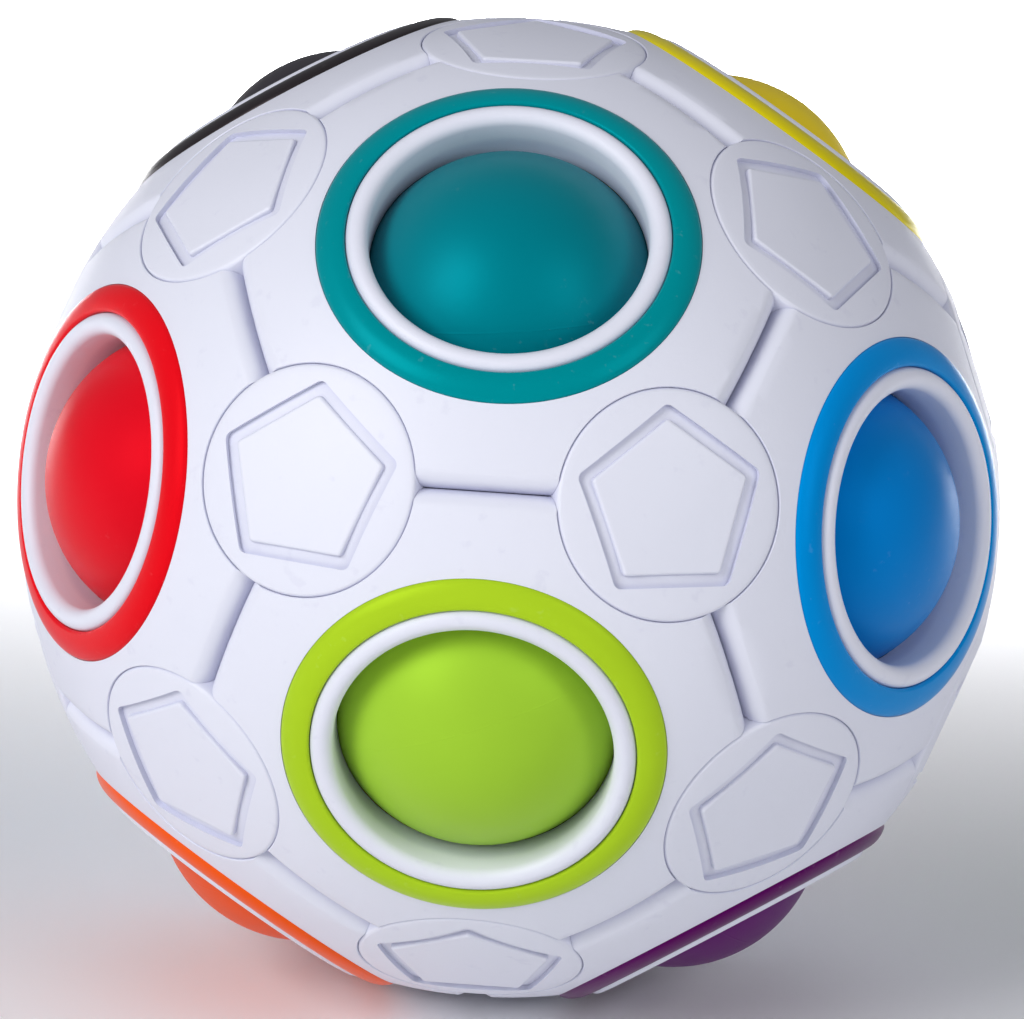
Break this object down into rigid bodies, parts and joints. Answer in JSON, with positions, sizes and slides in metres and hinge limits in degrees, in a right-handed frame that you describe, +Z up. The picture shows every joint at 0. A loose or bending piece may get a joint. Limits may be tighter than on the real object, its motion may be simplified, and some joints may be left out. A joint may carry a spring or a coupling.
{
  "type": "ball-shift puzzle sphere",
  "caption": "Hollow white puzzle sphere with round seats in coloured rings and loose coloured balls, one seat left empty for a pushed ball to roll into.",
  "frame": {"origin": "middle of the flat pentagon pad that the sphere stands on", "axes": "+Z up through the sphere's centre, -Y towards the front, where four seats and two corner caps face; the empty seat faces +Y"},
  "size_m": [0.07, 0.0704, 0.0692],
  "materials": {
    "shell_white": "satin white plastic with a fine moulded sheen",
    "teal_ring": "glossy moulded plastic",
    "yellow_ring": "glossy moulded plastic",
    "black_ring": "glossy moulded plastic",
    "red_ring": "glossy moulded plastic",
    "blue_ring": "glossy moulded plastic",
    "grey_ring": "glossy moulded plastic",
    "lime_ring": "glossy moulded plastic",
    "green_ring": "glossy moulded plastic",
    "sky_ring": "glossy moulded plastic",
    "pink_ring": "glossy moulded plastic",
    "orange_ring": "glossy moulded plastic",
    "purple_ring": "glossy moulded plastic",
    "teal_ball": "satin moulded plastic, lightly scuffed by handling",
    "yellow_ball": "satin moulded plastic, lightly scuffed by handling",
    "black_ball": "satin moulded plastic, lightly scuffed by handling",
    "red_ball": "satin moulded plastic, lightly scuffed by handling",
    "blue_ball": "satin moulded plastic, lightly scuffed by handling",
    "lime_ball": "satin moulded plastic, lightly scuffed by handling",
    "green_ball": "satin moulded plastic, lightly scuffed by handling",
    "sky_ball": "satin moulded plastic, lightly scuffed by handling",
    "pink_ball": "satin moulded plastic, lightly scuffed by handling",
    "orange_ball": "satin moulded plastic, lightly scuffed by handling",
    "purple_ball": "satin moulded plastic, lightly scuffed by handling",
    "core_foam": "matte closed-cell foam"
  },
  "bodies": {
    "shell": {"panel_teal": "shell_white", "panel_yellow": "shell_white", "panel_black": "shell_white", "panel_red": "shell_white", "panel_blue": "shell_white", "panel_open": "shell_white", "panel_lime": "shell_white", "panel_green": "shell_white", "panel_sky": "shell_white", "panel_pink": "shell_white", "panel_orange": "shell_white", "panel_purple": "shell_white", "ring_teal": "teal_ring", "ring_yellow": "yellow_ring", "ring_black": "black_ring", "ring_red": "red_ring", "ring_blue": "blue_ring", "ring_open": "grey_ring", "ring_lime": "lime_ring", "ring_green": "green_ring", "ring_sky": "sky_ring", "ring_pink": "pink_ring", "ring_orange": "orange_ring", "ring_purple": "purple_ring", "corner_cap_top": "shell_white", "corner_cap_upper_back": "shell_white", "corner_cap_upper_left": "shell_white", "corner_cap_upper_right": "shell_white", "corner_cap_front_left": "shell_white", "corner_cap_front_right": "shell_white", "corner_cap_right_front": "shell_white", "corner_cap_right_back": "shell_white", "corner_cap_left_back": "shell_white", "corner_cap_left_front": "shell_white", "corner_cap_back_right": "shell_white", "corner_cap_back_left": "shell_white", "corner_cap_lower_left_back": "shell_white", "corner_cap_lower_left_front": "shell_white", "corner_cap_lower_right_front": "shell_white", "corner_cap_lower_right_back": "shell_white", "corner_cap_under_front": "shell_white", "corner_cap_under_right": "shell_white", "corner_cap_under_left": "shell_white", "corner_cap_foot": "shell_white", "core": "core_foam"},
    "ball_teal": {"ball_teal": "teal_ball"},
    "ball_yellow": {"ball_yellow": "yellow_ball"},
    "ball_black": {"ball_black": "black_ball"},
    "ball_red": {"ball_red": "red_ball"},
    "ball_blue": {"ball_blue": "blue_ball"},
    "ball_lime": {"ball_lime": "lime_ball"},
    "ball_green": {"ball_green": "green_ball"},
    "ball_sky": {"ball_sky": "sky_ball"},
    "ball_pink": {"ball_pink": "pink_ball"},
    "ball_orange": {"ball_orange": "orange_ball"},
    "ball_purple": {"ball_purple": "purple_ball"}
  },
  "joints": [
    {"name": "teal_press", "type": "slide", "parent": "shell", "child": "ball_teal", "axis": [0, 0.6071, -0.7947], "range_m": [0, 0.0045], "stiffness_N_per_m": 200, "deforming": ["core"]},
    {"name": "yellow_press", "type": "slide", "parent": "shell", "child": "ball_yellow", "axis": [-0.5257, -0.3035, -0.7947], "range_m": [0, 0.0045], "stiffness_N_per_m": 200, "deforming": ["core"]},
    {"name": "black_press", "type": "slide", "parent": "shell", "child": "ball_black", "axis": [0.5257, -0.3035, -0.7947], "range_m": [0, 0.0045], "stiffness_N_per_m": 200, "deforming": ["core"]},
    {"name": "red_press", "type": "slide", "parent": "shell", "child": "ball_red", "axis": [0.8507, 0.4911, -0.1876], "range_m": [0, 0.0045], "stiffness_N_per_m": 200, "deforming": ["core"]},
    {"name": "blue_press", "type": "slide", "parent": "shell", "child": "ball_blue", "axis": [-0.8507, 0.4911, -0.1876], "range_m": [0, 0.0045], "stiffness_N_per_m": 200, "deforming": ["core"]},
    {"name": "lime_press", "type": "slide", "parent": "shell", "child": "ball_lime", "axis": [0, 0.9822, 0.1876], "range_m": [0, 0.0045], "stiffness_N_per_m": 200, "deforming": ["core"]},
    {"name": "green_press", "type": "slide", "parent": "shell", "child": "ball_green", "axis": [-0.8507, -0.4911, 0.1876], "range_m": [0, 0.0045], "stiffness_N_per_m": 200, "deforming": ["core"]},
    {"name": "sky_press", "type": "slide", "parent": "shell", "child": "ball_sky", "axis": [0.8507, -0.4911, 0.1876], "range_m": [0, 0.0045], "stiffness_N_per_m": 200, "deforming": ["core"]},
    {"name": "pink_hop", "type": "hinge", "parent": "shell", "child": "ball_pink", "pos_m": [0, 0.03994, 0.01933], "axis": [-1, 0, 0], "range_deg": [0, 62.97], "deforming": ["core"]},
    {"name": "orange_press", "type": "slide", "parent": "shell", "child": "ball_orange", "axis": [0.5257, 0.3035, 0.7947], "range_m": [0, 0.0045], "stiffness_N_per_m": 200, "deforming": ["core"]},
    {"name": "purple_press", "type": "slide", "parent": "shell", "child": "ball_purple", "axis": [-0.5257, 0.3035, 0.7947], "range_m": [0, 0.0045], "stiffness_N_per_m": 200, "deforming": ["core"]}
  ]
}
